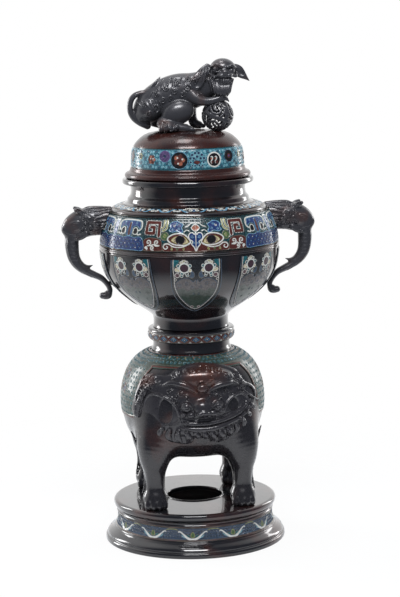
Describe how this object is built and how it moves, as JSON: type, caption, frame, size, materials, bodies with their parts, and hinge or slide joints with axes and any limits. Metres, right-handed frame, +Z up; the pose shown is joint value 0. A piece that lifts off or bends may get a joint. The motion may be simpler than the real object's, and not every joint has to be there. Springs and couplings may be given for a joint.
{
  "type": "incense burner",
  "caption": "Tall footed incense burner in dark bronze and enamel: round plinth, beast-shaped stand, two-handled bowl and lift-off lid with a lion finial.",
  "frame": {"origin": "centre of the circle that the plinth stands on, on the floor", "axes": "+Z up through plinth, stand, bowl and lid; -Y the side of the stand's beast face; handles along +X and -X"},
  "size_m": [0.3648, 0.263, 0.6973],
  "materials": {
    "bronze": "turned and polished, dark brown-black patina",
    "cast_bronze": "cast and chased, dark brown-black patina",
    "turquoise_enamel": "opaque vitreous enamel in metal cells, glossy",
    "cobalt_enamel": "opaque vitreous enamel in metal cells, glossy",
    "celadon_enamel": "opaque vitreous enamel in metal cells, glossy",
    "iron_hardware": "dull, lightly oxidised"
  },
  "bodies": {
    "burner": {"plinth_skirt": "bronze", "plinth_plate": "bronze", "stand_collar": "bronze", "collar_ring": "bronze", "bowl_lower": "bronze", "waist_bead": "bronze", "bowl_shoulder": "bronze", "mouth_rim": "bronze", "stand_body": "cast_bronze", "stand_mask": "cast_bronze", "handle_left": "cast_bronze", "handle_right": "cast_bronze", "handle_peg_left": "cast_bronze", "handle_peg_right": "cast_bronze", "stand_cloth": "turquoise_enamel", "scroll_band_enamel": "turquoise_enamel", "plinth_enamel": "cobalt_enamel", "collar_enamel": "cobalt_enamel", "mask_band_enamel": "cobalt_enamel", "lappet_1": "celadon_enamel", "lappet_2": "celadon_enamel", "lappet_3": "celadon_enamel", "lappet_4": "celadon_enamel", "lappet_5": "celadon_enamel", "lappet_6": "celadon_enamel", "lappet_7": "celadon_enamel", "lappet_8": "celadon_enamel", "paw_screw_1": "iron_hardware", "paw_screw_2": "iron_hardware", "paw_screw_3": "iron_hardware", "paw_screw_4": "iron_hardware", "tie_washer": "iron_hardware", "tie_bolt": "iron_hardware", "tie_bar": "iron_hardware", "tie_nut": "iron_hardware", "handle_screw_left": "iron_hardware", "handle_screw_right": "iron_hardware"},
    "lid": {"lid_shell": "bronze", "lid_ring": "bronze", "lid_enamel": "turquoise_enamel", "lion": "cast_bronze", "brocade_ball": "cast_bronze", "finial_stud_1": "iron_hardware", "finial_stud_2": "iron_hardware", "finial_nut_1": "iron_hardware", "finial_nut_2": "iron_hardware"}
  },
  "joints": [
    {"name": "lid_lift", "type": "slide", "parent": "burner", "child": "lid", "axis": [0, 0, 1], "range_m": [0, 0.16]}
  ]
}
